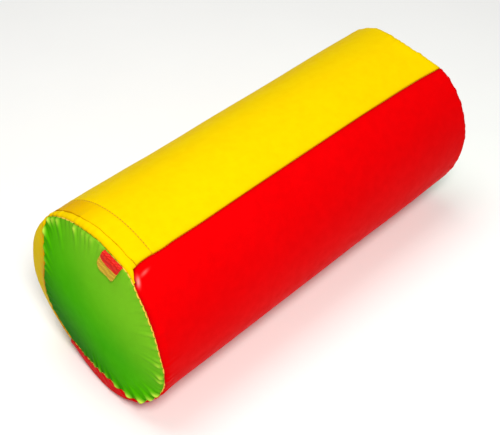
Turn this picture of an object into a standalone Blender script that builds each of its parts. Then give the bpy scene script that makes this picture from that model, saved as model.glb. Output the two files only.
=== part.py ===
"""Baby crawling roller: a foam core in a sewn cover of two half panels and two domed ends.

The roller's axis runs along X, and its near end, with the label and the zip, is at -X.
It lies on the floor at z = 0 on a narrow flat, where its own weight presses the foam.
Angles are measured about the axis from +Y towards +Z, and a depth is measured inwards from
the outer surface of the roller.
"""

import math

import bmesh
import bpy

# Driving sizes of the roller, in metres
ROLLER_RADIUS = 0.100
ROLLER_LENGTH = 0.450
COVER_THICKNESS = 0.0008
FIT_GAP = 0.0003
END_CROWN = 0.007
FLOOR_FLAT_DEPTH = 0.001

# Seams
FRONT_SEAM_ANGLE = math.radians(121.5)
RIM_SEAM_DROP = 0.007
SHOULDER_LENGTH = 0.007
SEAM_ROLL_RADIUS = 0.0015
LONG_SEAM_TURN_IN = 0.0026
RIM_SEAM_TURN_IN = 0.005
RIM_EDGE_SHARE = 0.2
SEAM_THREAD_DIAMETER = 0.0007
STITCH_THREAD_DIAMETER = 0.0006
STITCH_DIP_HALF_WIDTH = 0.0022

# Lapped zip along the yellow half of the near end
FLAP_EDGE_FROM_RIM = 0.0142
FLAP_WIDTH = 0.0210
STRIP_UNDER_FLAP = 0.0045
ZIP_END_MARGIN = 0.0035
TAPE_THICKNESS = 0.0006
TAPE_PAST_STITCH = 0.0030
TEETH_WIDTH = 0.0020
TEETH_HEIGHT = 0.0018
TEETH_ROW_GAP = 0.0012
STOP_LENGTH = 0.0025
SLIDER_LENGTH = 0.011
SLIDER_WIDTH = 0.009
SLIDER_PLATE = 0.0009
SLIDER_FLANGE = 0.0008
SLIDER_POST_LENGTH = 0.003
SLIDER_POST_WIDTH = 0.0007
RUNNING_GAP = 0.00035
BRIDGE_THICKNESS = 0.0007
BRIDGE_WIDTH = 0.0016
BRIDGE_SPAN = 0.0036
BRIDGE_FROM_CENTRE = 0.0030
PIN_CLEARANCE = 0.0002
TAB_LENGTH = 0.016
TAB_WIDTH = 0.0065
TAB_TIP_LENGTH = 0.0024
TAB_TIP_WIDTH = 0.0039
TAB_THICKNESS = 0.0006
TAB_PIN = 0.0008
TAB_EYE_LENGTH = 0.0028
TAB_EYE_WIDTH = 0.0026
TAB_ABOVE_PLATE = 0.00055
WINDOW_PAST_TAB = 0.004

# Label on the near end
LABEL_ANGLE = math.radians(111.5)
LABEL_WIDTH = 0.027
LABEL_HEIGHT = 0.020
LABEL_THICKNESS = 0.0005
LABEL_STITCH_INSET = 0.0025

# Fineness of the facets
FACET_ANGLE = math.radians(6)
SHARP_ANGLE = math.radians(30)
WALL_STEP = 0.00005
ROLL_FACETS = 2
SHOULDER_FACETS = 3
CROWN_FACETS = 3
THREAD_SIDES = 6

# Places that follow from the sizes
HALF_LENGTH = ROLLER_LENGTH / 2
AXIS_HEIGHT = ROLLER_RADIUS - FLOOR_FLAT_DEPTH
BACK_SEAM_ANGLE = FRONT_SEAM_ANGLE - math.pi
BACK_SEAM_TOP = FRONT_SEAM_ANGLE + math.pi
FLOOR_ANGLE = 1.5 * math.pi
FLOOR_FLAT_HALF_ANGLE = math.acos(AXIS_HEIGHT / ROLLER_RADIUS)
FLOOR_FLAT_EDGES = (FLOOR_ANGLE - FLOOR_FLAT_HALF_ANGLE, FLOOR_ANGLE + FLOOR_FLAT_HALF_ANGLE)
RIM_SEAM_RADIUS = ROLLER_RADIUS - RIM_SEAM_DROP
PANEL_RIM_RADIUS = RIM_SEAM_RADIUS + FIT_GAP / 2
DISC_RADIUS = RIM_SEAM_RADIUS - FIT_GAP / 2
CROWN_RADIUS = DISC_RADIUS - SEAM_ROLL_RADIUS
CORE_END_RADIUS = DISC_RADIUS - COVER_THICKNESS - FIT_GAP
SEAM_EDGE = (SEAM_ROLL_RADIUS + FIT_GAP / 2) / ROLLER_RADIUS
THREAD_RADIUS = SEAM_THREAD_DIAMETER / 2
STITCH_RADIUS = STITCH_THREAD_DIAMETER / 2
FACET_SAG = ROLLER_RADIUS * (1 - math.cos(FACET_ANGLE / 2))
STITCH_DIP = STITCH_THREAD_DIAMETER + FIT_GAP + FACET_SAG
THREAD_ABOVE_SEAM = (
    math.sqrt(
        (SEAM_ROLL_RADIUS + THREAD_RADIUS + FIT_GAP) ** 2 - (SEAM_ROLL_RADIUS + FIT_GAP / 2) ** 2
    )
    - SEAM_ROLL_RADIUS
)

FLAP_EDGE_X = FLAP_EDGE_FROM_RIM - HALF_LENGTH
FLAP_STITCH_X = FLAP_EDGE_X + FLAP_WIDTH
STRIP_EDGE_X = FLAP_EDGE_X + STRIP_UNDER_FLAP
STRIP_STITCH_X = STRIP_EDGE_X - STITCH_DIP_HALF_WIDTH
ZIP_X = (FLAP_EDGE_X + FLAP_STITCH_X) / 2
WINDOW_EDGE_X = FLAP_STITCH_X - STITCH_DIP_HALF_WIDTH - FIT_GAP
NEAR_TAPE_EDGE_X = STRIP_STITCH_X - TAPE_PAST_STITCH
FAR_TAPE_EDGE_X = FLAP_STITCH_X + TAPE_PAST_STITCH

STRIP_DEPTH = COVER_THICKNESS + FIT_GAP
NEAR_TAPE_DEPTH = STRIP_DEPTH + COVER_THICKNESS + STITCH_DIP + FIT_GAP
FAR_TAPE_DEPTH = COVER_THICKNESS + STITCH_DIP + FIT_GAP
BRIDGE_TOP_DEPTH = COVER_THICKNESS + FIT_GAP
BRIDGE_UNDER_DEPTH = BRIDGE_TOP_DEPTH + BRIDGE_THICKNESS
PIVOT_DEPTH = BRIDGE_UNDER_DEPTH + PIN_CLEARANCE + TAB_PIN / 2
PLATE_TOP_DEPTH = PIVOT_DEPTH + TAB_PIN / 2 + TAB_ABOVE_PLATE
PLATE_BOTTOM_DEPTH = PLATE_TOP_DEPTH + SLIDER_PLATE
TEETH_TOP_DEPTH = PLATE_BOTTOM_DEPTH + RUNNING_GAP
TEETH_BOTTOM_DEPTH = TEETH_TOP_DEPTH + TEETH_HEIGHT
LOWER_PLATE_TOP_DEPTH = TEETH_BOTTOM_DEPTH + RUNNING_GAP
LOWER_PLATE_BOTTOM_DEPTH = LOWER_PLATE_TOP_DEPTH + SLIDER_PLATE
TAPE_DEPTH = (TEETH_TOP_DEPTH + TEETH_BOTTOM_DEPTH - TAPE_THICKNESS) / 2
ZIP_POCKET_DEPTH = LOWER_PLATE_BOTTOM_DEPTH + FIT_GAP
CORE_DEPTH = COVER_THICKNESS + FIT_GAP
SEAM_GROOVE_HALF_ANGLE = (FIT_GAP / 2 + COVER_THICKNESS + FIT_GAP) / ROLLER_RADIUS
STRIP_INSET_ANGLE = (COVER_THICKNESS + FIT_GAP) / ROLLER_RADIUS

PIVOT_RADIUS = math.hypot(ROLLER_RADIUS - PIVOT_DEPTH, BRIDGE_FROM_CENTRE)
PIVOT_AHEAD = math.atan2(BRIDGE_FROM_CENTRE, ROLLER_RADIUS - PIVOT_DEPTH)
TAB_REACH = TAB_LENGTH / PIVOT_RADIUS
TAB_TILT = math.asin(TAB_LENGTH / 2 / PIVOT_RADIUS)
SLIDER_HALF_ANGLE = SLIDER_LENGTH / 2 / (ROLLER_RADIUS - LOWER_PLATE_BOTTOM_DEPTH)
GAP_ANGLE = FIT_GAP / (ROLLER_RADIUS - TEETH_BOTTOM_DEPTH)
ZIP_MARGIN_ANGLE = ZIP_END_MARGIN / ROLLER_RADIUS
STOP_ANGLE = STOP_LENGTH / (ROLLER_RADIUS - TEETH_TOP_DEPTH)

ZIP_START = BACK_SEAM_ANGLE + ZIP_MARGIN_ANGLE
ZIP_END = FRONT_SEAM_ANGLE - ZIP_MARGIN_ANGLE
STOP_START = ZIP_START + ZIP_MARGIN_ANGLE / 2
STOP_END = STOP_START + STOP_ANGLE
TEETH_START = STOP_END + GAP_ANGLE
SLIDER_CLOSED = TEETH_START + SLIDER_HALF_ANGLE
SLIDER_OPEN = ZIP_END - TAB_REACH - PIVOT_AHEAD - ZIP_MARGIN_ANGLE / 2
BOTTOM_STOP_START = SLIDER_OPEN + SLIDER_HALF_ANGLE + GAP_ANGLE
TEETH_END = BOTTOM_STOP_START - GAP_ANGLE
WINDOW_END = SLIDER_CLOSED + PIVOT_AHEAD + TAB_REACH + WINDOW_PAST_TAB / ROLLER_RADIUS
POCKET_START = ZIP_START - GAP_ANGLE
POCKET_END = ZIP_END + GAP_ANGLE

YELLOW = (1.0, 0.78, 0.0)
RED = (0.86, 0.01, 0.01)
GREEN = (0.12, 0.50, 0.01)


def polar(x, radius, angle):
    """Point at a radius and an angle about the roller's axis."""
    return (x, radius * math.cos(angle), AXIS_HEIGHT + radius * math.sin(angle))


def above_floor(point, depth):
    """The point, lifted where the floor presses the roller's skin flat."""
    return (point[0], point[1], max(point[2], depth))


def facet_angles(start, end, keep=()):
    """Angles from start to end, with the roller's facet lines and the angles to keep between."""
    fixed = [start, *(angle for angle in keep if start < angle < end), end]
    lines = range(math.ceil(start / FACET_ANGLE), math.floor(end / FACET_ANGLE) + 1)
    free = [line * FACET_ANGLE for line in lines]
    free = [angle for angle in free if all(abs(angle - a) > FACET_ANGLE / 4 for a in fixed)]
    return sorted(free + fixed)


def finish_object(name, build, material):
    """Turns a bmesh into a named object with outward faces and smooth round sides."""
    bmesh.ops.triangulate(build, faces=build.faces)
    bmesh.ops.recalc_face_normals(build, faces=build.faces)
    mesh = bpy.data.meshes.new(name)
    build.to_mesh(mesh)
    build.free()
    mesh.shade_smooth()
    mesh.set_sharp_from_angle(angle=SHARP_ANGLE)
    mesh.materials.append(material)
    piece = bpy.data.objects.new(name, mesh)
    bpy.context.scene.collection.objects.link(piece)
    return piece


def loft(name, loops, material, closed=False):
    """Closed solid through loops of points, with flat ends or joined end to end."""
    build = bmesh.new()
    rows = [[build.verts.new(point) for point in loop] for loop in loops]
    pairs = list(zip(rows, rows[1:]))
    if closed:
        pairs.append((rows[-1], rows[0]))
    else:
        build.faces.new(rows[0])
        build.faces.new(list(reversed(rows[-1])))
    for low, high in pairs:
        for i in range(len(low)):
            j = (i + 1) % len(low)
            build.faces.new((low[i], low[j], high[j], high[i]))
    return finish_object(name, build, material)


def sheet(name, outer_rows, inner_rows, material):
    """Closed sheet of cover between two grids of points."""
    build = bmesh.new()
    outer = [[build.verts.new(point) for point in row] for row in outer_rows]
    inner = [[build.verts.new(point) for point in row] for row in inner_rows]
    last_row, last_column = len(outer) - 1, len(outer[0]) - 1
    for i in range(last_row):
        for j in range(last_column):
            for side in (outer, inner):
                build.faces.new(
                    (side[i][j], side[i + 1][j], side[i + 1][j + 1], side[i][j + 1])
                )
    border = [(0, j) for j in range(last_column)]
    border += [(i, last_column) for i in range(last_row)]
    border += [(last_row, j) for j in range(last_column, 0, -1)]
    border += [(i, 0) for i in range(last_row, 0, -1)]
    for (i, j), (k, m) in zip(border, border[1:] + border[:1]):
        build.faces.new((outer[i][j], outer[k][m], inner[k][m], inner[i][j]))
    return finish_object(name, build, material)


def lathe(name, rings, start, end, material):
    """Closed solid through full rings of points, from a start point to an end point."""
    build = bmesh.new()
    rows = [[build.verts.new(point) for point in ring] for ring in rings]
    first, last = build.verts.new(start), build.verts.new(end)
    count = len(rows[0])
    for i in range(count):
        j = (i + 1) % count
        build.faces.new((first, rows[0][i], rows[0][j]))
        build.faces.new((last, rows[-1][j], rows[-1][i]))
        for low, high in zip(rows, rows[1:]):
            build.faces.new((low[i], low[j], high[j], high[i]))
    return finish_object(name, build, material)


def arc_bar(name, section, start, end, material, facet=1.0):
    """Bar with a section of (x, depth) points, swept round the axis from start to end."""
    steps = max(1, round((end - start) / (FACET_ANGLE * facet)))
    angles = [start + (end - start) * i / steps for i in range(steps + 1)]
    loops = [[polar(x, ROLLER_RADIUS - d, angle) for x, d in section] for angle in angles]
    return loft(name, loops, material)


def rectangle(x_low, x_high, depth_low, depth_high):
    """Section of a bar as four (x, depth) points."""
    return [(x_low, depth_low), (x_high, depth_low), (x_high, depth_high), (x_low, depth_high)]


def thread_section(x, depth, radius):
    """Round section of a thread, as (x, depth) points."""
    turns = [2 * math.pi * i / THREAD_SIDES for i in range(THREAD_SIDES)]
    return [(x + radius * math.cos(t), depth + radius * math.sin(t)) for t in turns]


def make_material(name, colour, roughness, metallic=0.0):
    """Principled material with one colour, roughness and metallic value."""
    material = bpy.data.materials.new(name)
    material.use_nodes = True
    shader = material.node_tree.nodes["Principled BSDF"]
    shader.inputs["Base Color"].default_value = (*colour, 1.0)
    shader.inputs["Roughness"].default_value = roughness
    shader.inputs["Metallic"].default_value = metallic
    material.diffuse_color = (*colour, 1.0)
    return material


def rail_point(x, radius, normal, edge_share):
    """One station of a panel's rail: outer point, inward normal and share of the edge's turn."""
    return {"x": x, "radius": radius, "normal": normal, "edge_share": edge_share}


def rim_rail(side, outer_radius):
    """Rail of a panel's end from its straight part over the shoulder into the rim seam."""
    face_radius = PANEL_RIM_RADIUS + SEAM_ROLL_RADIUS
    rise = outer_radius - face_radius
    rail = []
    for i in range(SHOULDER_FACETS + 1):
        turn = math.pi / 2 * i / SHOULDER_FACETS
        x = HALF_LENGTH - SHOULDER_LENGTH + SHOULDER_LENGTH * math.sin(turn)
        radius = face_radius + rise * math.cos(turn)
        slope_x, slope_r = math.sin(turn) / SHOULDER_LENGTH, math.cos(turn) / rise
        size = math.hypot(slope_x, slope_r)
        normal = (-side * slope_x / size, -slope_r / size)
        share = 1 - (1 - RIM_EDGE_SHARE) * math.sin(turn)
        rail.append(rail_point(side * x, radius, normal, share))
    for i in range(1, ROLL_FACETS + 1):
        turn = math.pi / 2 * i / ROLL_FACETS
        x = HALF_LENGTH - SEAM_ROLL_RADIUS + SEAM_ROLL_RADIUS * math.cos(turn)
        radius = face_radius - SEAM_ROLL_RADIUS * math.sin(turn)
        normal = (-side * math.cos(turn), math.sin(turn))
        rail.append(rail_point(side * x, radius, normal, RIM_EDGE_SHARE))
    end_x = side * (HALF_LENGTH - RIM_SEAM_TURN_IN)
    rail.append(rail_point(end_x, PANEL_RIM_RADIUS, (0, 1), RIM_EDGE_SHARE))
    return rail


def stitched_rail(stitch_x, radius):
    """Rail over a line of topstitching, which draws the cover in."""
    rail = []
    for share in (-1, -0.5, 0, 0.5, 1):
        dip = STITCH_DIP * (1 + math.cos(math.pi * share)) / 2
        x = stitch_x + share * STITCH_DIP_HALF_WIDTH
        rail.append(rail_point(x, radius - dip, (0, -1), 1))
    return rail


def panel_edge():
    """Rolled and turned-in edge of a panel, as (outer, inner) pairs of (distance, depth)."""
    pairs = [((0, LONG_SEAM_TURN_IN), (COVER_THICKNESS, LONG_SEAM_TURN_IN))]
    for i in range(ROLL_FACETS + 1):
        turn = math.pi / 2 * i / ROLL_FACETS
        pair = []
        for bend in (SEAM_ROLL_RADIUS, SEAM_ROLL_RADIUS - COVER_THICKNESS):
            pair.append(
                (
                    SEAM_ROLL_RADIUS - bend * math.cos(turn),
                    SEAM_ROLL_RADIUS - bend * math.sin(turn),
                )
            )
        pairs.append(tuple(pair))
    return pairs


def panel(name, rail, start, end, material):
    """Panel of the cover between two long seams, along a rail of stations."""
    columns = []
    for (outer_s, outer_d), (inner_s, inner_d) in panel_edge():
        columns.append((start, outer_s, outer_d, inner_s, inner_d))
    for angle in facet_angles(start + SEAM_EDGE, end - SEAM_EDGE, FLOOR_FLAT_EDGES)[1:-1]:
        columns.append((angle, None, 0, None, COVER_THICKNESS))
    for (outer_s, outer_d), (inner_s, inner_d) in reversed(panel_edge()):
        columns.append((end, -outer_s, outer_d, -inner_s, inner_d))

    def place(station, angle, along, depth, wall):
        if along is not None:
            side = 1 if angle == start else -1
            angle += (along + side * FIT_GAP / 2) / ROLLER_RADIUS
        inwards = wall + station["edge_share"] * (depth - wall)
        normal_x, normal_r = station["normal"]
        x = station["x"] + normal_x * inwards
        return above_floor(polar(x, station["radius"] + normal_r * inwards, angle), wall)

    outer_rows = [[place(s, a, o, d, 0) for a, o, d, _, _ in columns] for s in rail]
    inner_rows = [
        [place(s, a, i, d, COVER_THICKNESS) for a, _, _, i, d in columns] for s in rail
    ]
    return sheet(name, outer_rows, inner_rows, material)


def crown_x(radius):
    """How far an end's dome stands beyond the rim seam at a radius."""
    return END_CROWN * (1 - (radius / CROWN_RADIUS) ** 2)


def end_disc(name, side, material):
    """Domed end with its edge rolled and turned in at the rim seam."""
    outer, inner = [], []
    for i in range(1, CROWN_FACETS + 1):
        radius = CROWN_RADIUS * i / CROWN_FACETS
        outer.append((HALF_LENGTH + crown_x(radius), radius))
        inner.append((HALF_LENGTH + crown_x(radius) - COVER_THICKNESS, radius))
    for i in range(1, ROLL_FACETS + 1):
        turn = math.pi / 2 * i / ROLL_FACETS
        for points, bend in ((outer, 0), (inner, COVER_THICKNESS)):
            roll = SEAM_ROLL_RADIUS - bend
            x = HALF_LENGTH - SEAM_ROLL_RADIUS + roll * math.cos(turn)
            points.append((x, CROWN_RADIUS + roll * math.sin(turn)))
    outer.append((HALF_LENGTH - RIM_SEAM_TURN_IN, DISC_RADIUS))
    inner.append((HALF_LENGTH - RIM_SEAM_TURN_IN, DISC_RADIUS - COVER_THICKNESS))
    angles = facet_angles(0, 2 * math.pi)[:-1]
    profile = outer + inner[::-1]
    rings = [[polar(side * x, radius, angle) for angle in angles] for x, radius in profile]
    top = HALF_LENGTH + END_CROWN
    start = polar(side * top, 0, 0)
    end = polar(side * (top - COVER_THICKNESS), 0, 0)
    return lathe(name, rings, start, end, material)


def core_depth(zone, angle):
    """Depth of the foam's surface at an angle, in one of its zones along the axis."""
    near_zip = zone != "plain"
    outermost = STRIP_DEPTH + STITCH_DIP if near_zip else 0
    yellow_reach = SEAM_GROOVE_HALF_ANGLE + (STRIP_INSET_ANGLE if near_zip else 0)
    for towards_yellow in (FRONT_SEAM_ANGLE - angle, angle - BACK_SEAM_TOP):
        if -SEAM_GROOVE_HALF_ANGLE < towards_yellow < yellow_reach:
            return outermost + LONG_SEAM_TURN_IN + FIT_GAP
    on_yellow = angle < FRONT_SEAM_ANGLE or angle > BACK_SEAM_TOP
    if not near_zip or not on_yellow:
        return CORE_DEPTH
    if zone == "strip":
        return STRIP_DEPTH + CORE_DEPTH
    if angle < POCKET_END or angle > POCKET_START + 2 * math.pi:
        return ZIP_POCKET_DEPTH
    return NEAR_TAPE_DEPTH


def foam_core(material):
    """One-piece foam cylinder with domed ends, grooves for the seams and a pocket for the zip."""
    walls = [POCKET_END, POCKET_START + 2 * math.pi]
    for seam, towards_yellow in ((FRONT_SEAM_ANGLE, -1), (BACK_SEAM_TOP, 1)):
        walls += [seam - SEAM_GROOVE_HALF_ANGLE, seam + SEAM_GROOVE_HALF_ANGLE]
        walls.append(seam + towards_yellow * (SEAM_GROOVE_HALF_ANGLE + STRIP_INSET_ANGLE))
    step = WALL_STEP / ROLLER_RADIUS
    keep = [angle for wall in walls for angle in (wall - step, wall + step)]
    angles = facet_angles(0, 2 * math.pi, [*keep, *FLOOR_FLAT_EDGES])[:-1]

    rebate_x = HALF_LENGTH - max(RIM_SEAM_TURN_IN, SHOULDER_LENGTH) - FIT_GAP
    pocket_low = NEAR_TAPE_EDGE_X - FIT_GAP
    pocket_high = FAR_TAPE_EDGE_X + FIT_GAP
    body = [
        (WALL_STEP - rebate_x, "strip"),
        (pocket_low - WALL_STEP, "strip"),
        (pocket_low, "pocket"),
        (pocket_high, "pocket"),
        (pocket_high + WALL_STEP, "plain"),
        (rebate_x - WALL_STEP, "plain"),
    ]

    def end_rings(side):
        rings = []
        for i in range(1, CROWN_FACETS + 1):
            radius = (CROWN_RADIUS - SEAM_ROLL_RADIUS) * i / CROWN_FACETS
            rings.append((side * (HALF_LENGTH + crown_x(radius) - CORE_DEPTH), radius))
        rings.append((side * (HALF_LENGTH - SEAM_ROLL_RADIUS - FIT_GAP), CORE_END_RADIUS))
        rings.append((side * rebate_x, CORE_END_RADIUS))
        return [[polar(x, radius, angle) for angle in angles] for x, radius in rings]

    rings = end_rings(-1)
    for x, zone in body:
        depths = [core_depth(zone, angle) for angle in angles]
        rings.append(
            [
                above_floor(polar(x, ROLLER_RADIUS - depth, angle), depth)
                for depth, angle in zip(depths, angles)
            ]
        )
    rings += end_rings(1)[::-1]
    top = HALF_LENGTH + END_CROWN - CORE_DEPTH
    return lathe("foam_core", rings, polar(-top, 0, 0), polar(top, 0, 0), material)


def rim_thread(name, side, material):
    """Seam thread that lies in the valley of a rim seam, all the way round."""
    x = side * (HALF_LENGTH + THREAD_ABOVE_SEAM)
    section = thread_section(x, RIM_SEAM_DROP, THREAD_RADIUS)
    angles = facet_angles(0, 2 * math.pi)[:-1]
    loops = [[polar(px, ROLLER_RADIUS - d, angle) for px, d in section] for angle in angles]
    return loft(name, loops, material, closed=True)


def long_seam_thread(name, angle, start_x, material):
    """Seam thread that lies in the valley between the two half panels."""
    radius = ROLLER_RADIUS + THREAD_ABOVE_SEAM
    end_x = HALF_LENGTH - SHOULDER_LENGTH
    loops = []
    for x in (start_x, end_x):
        loop = []
        for i in range(THREAD_SIDES):
            turn = 2 * math.pi * i / THREAD_SIDES
            across = THREAD_RADIUS * math.cos(turn) / radius
            loop.append(polar(x, radius + THREAD_RADIUS * math.sin(turn), angle + across))
        loops.append(loop)
    return loft(name, loops, material)


def tape(name, points, material):
    """Zip tape with its upper side along (x, depth) points, swept along the zip."""
    lower = [(x, depth + TAPE_THICKNESS) for x, depth in reversed(points)]
    return arc_bar(name, points + lower, ZIP_START, ZIP_END, material)


def block(x_low, x_high, depth_low, depth_high, ahead_low, ahead_high):
    """Box in a slider's own frame: along X, in depth, and ahead along the zip."""
    build = bmesh.new()
    bmesh.ops.create_cube(build, size=1)
    for vert in build.verts:
        vert.co.x = x_low if vert.co.x < 0 else x_high
        vert.co.y = ROLLER_RADIUS - (depth_high if vert.co.y < 0 else depth_low)
        vert.co.z = ahead_low if vert.co.z < 0 else ahead_high
    return build


def joined(name, blocks, material):
    """One solid from overlapping boxes, joined by exact unions."""
    base, *others = [finish_object(name, build, material) for build in blocks]
    for other in others:
        union = base.modifiers.new("union", "BOOLEAN")
        union.operation = "UNION"
        union.solver = "EXACT"
        union.object = other
    bpy.context.view_layer.update()
    shape = base.evaluated_get(bpy.context.evaluated_depsgraph_get())
    mesh = bpy.data.meshes.new_from_object(shape)
    for piece in (base, *others):
        bpy.data.objects.remove(piece)
    result = bpy.data.objects.new(name, mesh)
    bpy.context.scene.collection.objects.link(result)
    return result


def zip_slider(material):
    """Slider that straddles the tooth rows, with a bridge for the pull tab's pin."""
    half_width, half_length = SLIDER_WIDTH / 2, SLIDER_LENGTH / 2
    low, high = -half_width, half_width
    tape_top, tape_bottom = TAPE_DEPTH - RUNNING_GAP, TAPE_DEPTH + TAPE_THICKNESS + RUNNING_GAP
    sink = SLIDER_PLATE / 2
    post_start = SLIDER_FLANGE - half_length
    post = (-SLIDER_POST_WIDTH / 2, SLIDER_POST_WIDTH / 2)
    foot_low = BRIDGE_FROM_CENTRE - BRIDGE_SPAN / 2
    foot_high = BRIDGE_FROM_CENTRE + BRIDGE_SPAN / 2
    bridge = (-BRIDGE_WIDTH / 2, BRIDGE_WIDTH / 2)
    in_bridge = BRIDGE_TOP_DEPTH + BRIDGE_THICKNESS / 2
    in_plate, in_lower_plate = PLATE_TOP_DEPTH + sink, LOWER_PLATE_BOTTOM_DEPTH - sink
    along = (-half_length, half_length)
    blocks = [
        block(low, high, PLATE_TOP_DEPTH, PLATE_BOTTOM_DEPTH, *along),
        block(low, high, LOWER_PLATE_TOP_DEPTH, LOWER_PLATE_BOTTOM_DEPTH, *along),
        block(*post, in_plate, in_lower_plate, post_start, post_start + SLIDER_POST_LENGTH),
        block(*bridge, BRIDGE_TOP_DEPTH, BRIDGE_UNDER_DEPTH, foot_low, foot_high),
        block(*bridge, in_bridge, in_plate, foot_low, foot_low + BRIDGE_THICKNESS),
        block(*bridge, in_bridge, in_plate, foot_high - BRIDGE_THICKNESS, foot_high),
    ]
    for edge_low, edge_high in ((low, low + SLIDER_FLANGE), (high - SLIDER_FLANGE, high)):
        blocks.append(block(edge_low, edge_high, in_plate, tape_top, *along))
        blocks.append(block(edge_low, edge_high, tape_bottom, in_lower_plate, *along))
    slider = joined("zip_slider", blocks, material)
    slider.location = (ZIP_X, 0, AXIS_HEIGHT)
    slider.rotation_euler = (SLIDER_CLOSED, 0, 0)
    return slider


def zip_pull_tab(material):
    """Pull tab with an eye round its pin; its origin is on the pin's axis."""
    half_width, half_eye, half_thick = TAB_WIDTH / 2, TAB_EYE_WIDTH / 2, TAB_THICKNESS / 2
    half_pin = TAB_PIN / 2
    eye_end = half_pin + TAB_EYE_LENGTH
    half_tip, tip_start = TAB_TIP_WIDTH / 2, TAB_LENGTH - TAB_TIP_LENGTH
    outline = [
        (-half_width, -half_pin),
        (half_width, -half_pin),
        (half_width, tip_start),
        (half_tip, TAB_LENGTH),
        (-half_tip, TAB_LENGTH),
        (-half_width, tip_start),
    ]
    eye = [(-half_eye, half_pin), (half_eye, half_pin), (half_eye, eye_end), (-half_eye, eye_end)]
    build = bmesh.new()
    levels = []
    for height in (-half_thick, half_thick):
        loops = [[(x, height, z) for x, z in loop] for loop in (outline, eye)]
        levels.append([[build.verts.new(point) for point in loop] for loop in loops])
    for low, high in zip(*levels):
        for i in range(len(low)):
            j = (i + 1) % len(low)
            build.faces.new((low[i], low[j], high[j], high[i]))
    for level in levels:
        edges = []
        for loop in level:
            edges += [build.edges.get((loop[i], loop[i - 1])) for i in range(len(loop))]
        bmesh.ops.triangle_fill(build, use_beauty=True, edges=edges)
    tab = finish_object("zip_pull_tab", build, material)
    tab.location = polar(ZIP_X, PIVOT_RADIUS, SLIDER_CLOSED + PIVOT_AHEAD)
    tab.rotation_euler = (SLIDER_CLOSED + PIVOT_AHEAD + TAB_TILT, 0, 0)
    return tab


def label_point(across, radial, height):
    """Point above the near end's dome, from the middle of the label."""
    radius = CROWN_RADIUS - LABEL_HEIGHT / 2 + radial
    y = radius * math.cos(LABEL_ANGLE) - across * math.sin(LABEL_ANGLE)
    z = radius * math.sin(LABEL_ANGLE) + across * math.cos(LABEL_ANGLE)
    x = -HALF_LENGTH - crown_x(math.hypot(y, z)) - height
    return (x, y, AXIS_HEIGHT + z)


def label_tag(material):
    """Small woven label that lies on the dome beside the rim seam."""
    corner = math.sqrt(CROWN_RADIUS**2 - (LABEL_WIDTH / 2) ** 2) - CROWN_RADIUS
    top = LABEL_HEIGHT / 2 + corner - FIT_GAP
    rows = [-LABEL_HEIGHT / 2 + (top + LABEL_HEIGHT / 2) * i / 4 for i in range(5)]
    columns = [LABEL_WIDTH * (i / 4 - 0.5) for i in range(5)]

    def grid(height):
        return [[label_point(across, radial, height) for across in columns] for radial in rows]

    return sheet("label_tag", grid(FIT_GAP + LABEL_THICKNESS), grid(FIT_GAP), material)


def label_stitch(material):
    """Stitching across the label, just inside its edge at the rim."""
    height = 2 * FIT_GAP + LABEL_THICKNESS + STITCH_RADIUS
    radial = LABEL_HEIGHT / 2 - LABEL_STITCH_INSET
    loops = []
    for i in range(5):
        across = (LABEL_WIDTH - 2 * LABEL_STITCH_INSET) * (i / 4 - 0.5)
        loop = []
        for k in range(THREAD_SIDES):
            turn = 2 * math.pi * k / THREAD_SIDES
            rise = STITCH_RADIUS * math.sin(turn)
            loop.append(label_point(across, radial + STITCH_RADIUS * math.cos(turn), height + rise))
        loops.append(loop)
    return loft("label_stitch_thread", loops, material)


def flap_end_tack(material):
    """Bar tack across the flap where it ends beside the slider's window."""
    angle = WINDOW_END + WINDOW_PAST_TAB / 2 / ROLLER_RADIUS
    half = STITCH_THREAD_DIAMETER / ROLLER_RADIUS
    top = -FIT_GAP - STITCH_THREAD_DIAMETER
    section = rectangle(FLAP_EDGE_X + FIT_GAP, WINDOW_EDGE_X, top, -FIT_GAP)
    return arc_bar("flap_end_tack", section, angle - half, angle + half, material)


def cover_pieces(yellow, red, green):
    """The sewn cover: two half panels, the strip beside the zip and the two domed ends."""
    straight = rim_rail(1, ROLLER_RADIUS)
    red_rail = rim_rail(-1, ROLLER_RADIUS)[::-1] + straight
    panel("red_panel", red_rail, FRONT_SEAM_ANGLE, BACK_SEAM_TOP, red)

    flap_edge = rail_point(FLAP_EDGE_X, ROLLER_RADIUS, (0, -1), 1)
    yellow_rail = [flap_edge, *stitched_rail(FLAP_STITCH_X, ROLLER_RADIUS), *straight]
    yellow_panel = panel("yellow_panel", yellow_rail, BACK_SEAM_ANGLE, FRONT_SEAM_ANGLE, yellow)
    below = LONG_SEAM_TURN_IN + FIT_GAP
    section = rectangle(FLAP_EDGE_X - SHOULDER_LENGTH, WINDOW_EDGE_X, -below, below)
    window = arc_bar("window_cutter", section, BACK_SEAM_ANGLE - FACET_ANGLE, WINDOW_END, yellow)
    window.hide_render = True
    window.display_type = "WIRE"
    cut = yellow_panel.modifiers.new("window", "BOOLEAN")
    cut.operation = "DIFFERENCE"
    cut.solver = "EXACT"
    cut.object = window

    strip_radius = ROLLER_RADIUS - STRIP_DEPTH
    strip_rail = [*rim_rail(-1, strip_radius)[::-1], *stitched_rail(STRIP_STITCH_X, strip_radius)]
    strip_start = BACK_SEAM_ANGLE + STRIP_INSET_ANGLE
    strip_end = FRONT_SEAM_ANGLE - STRIP_INSET_ANGLE
    panel("near_rim_strip", strip_rail, strip_start, strip_end, yellow)
    end_disc("near_end_disc", -1, green)
    end_disc("far_end_disc", 1, green)


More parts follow.
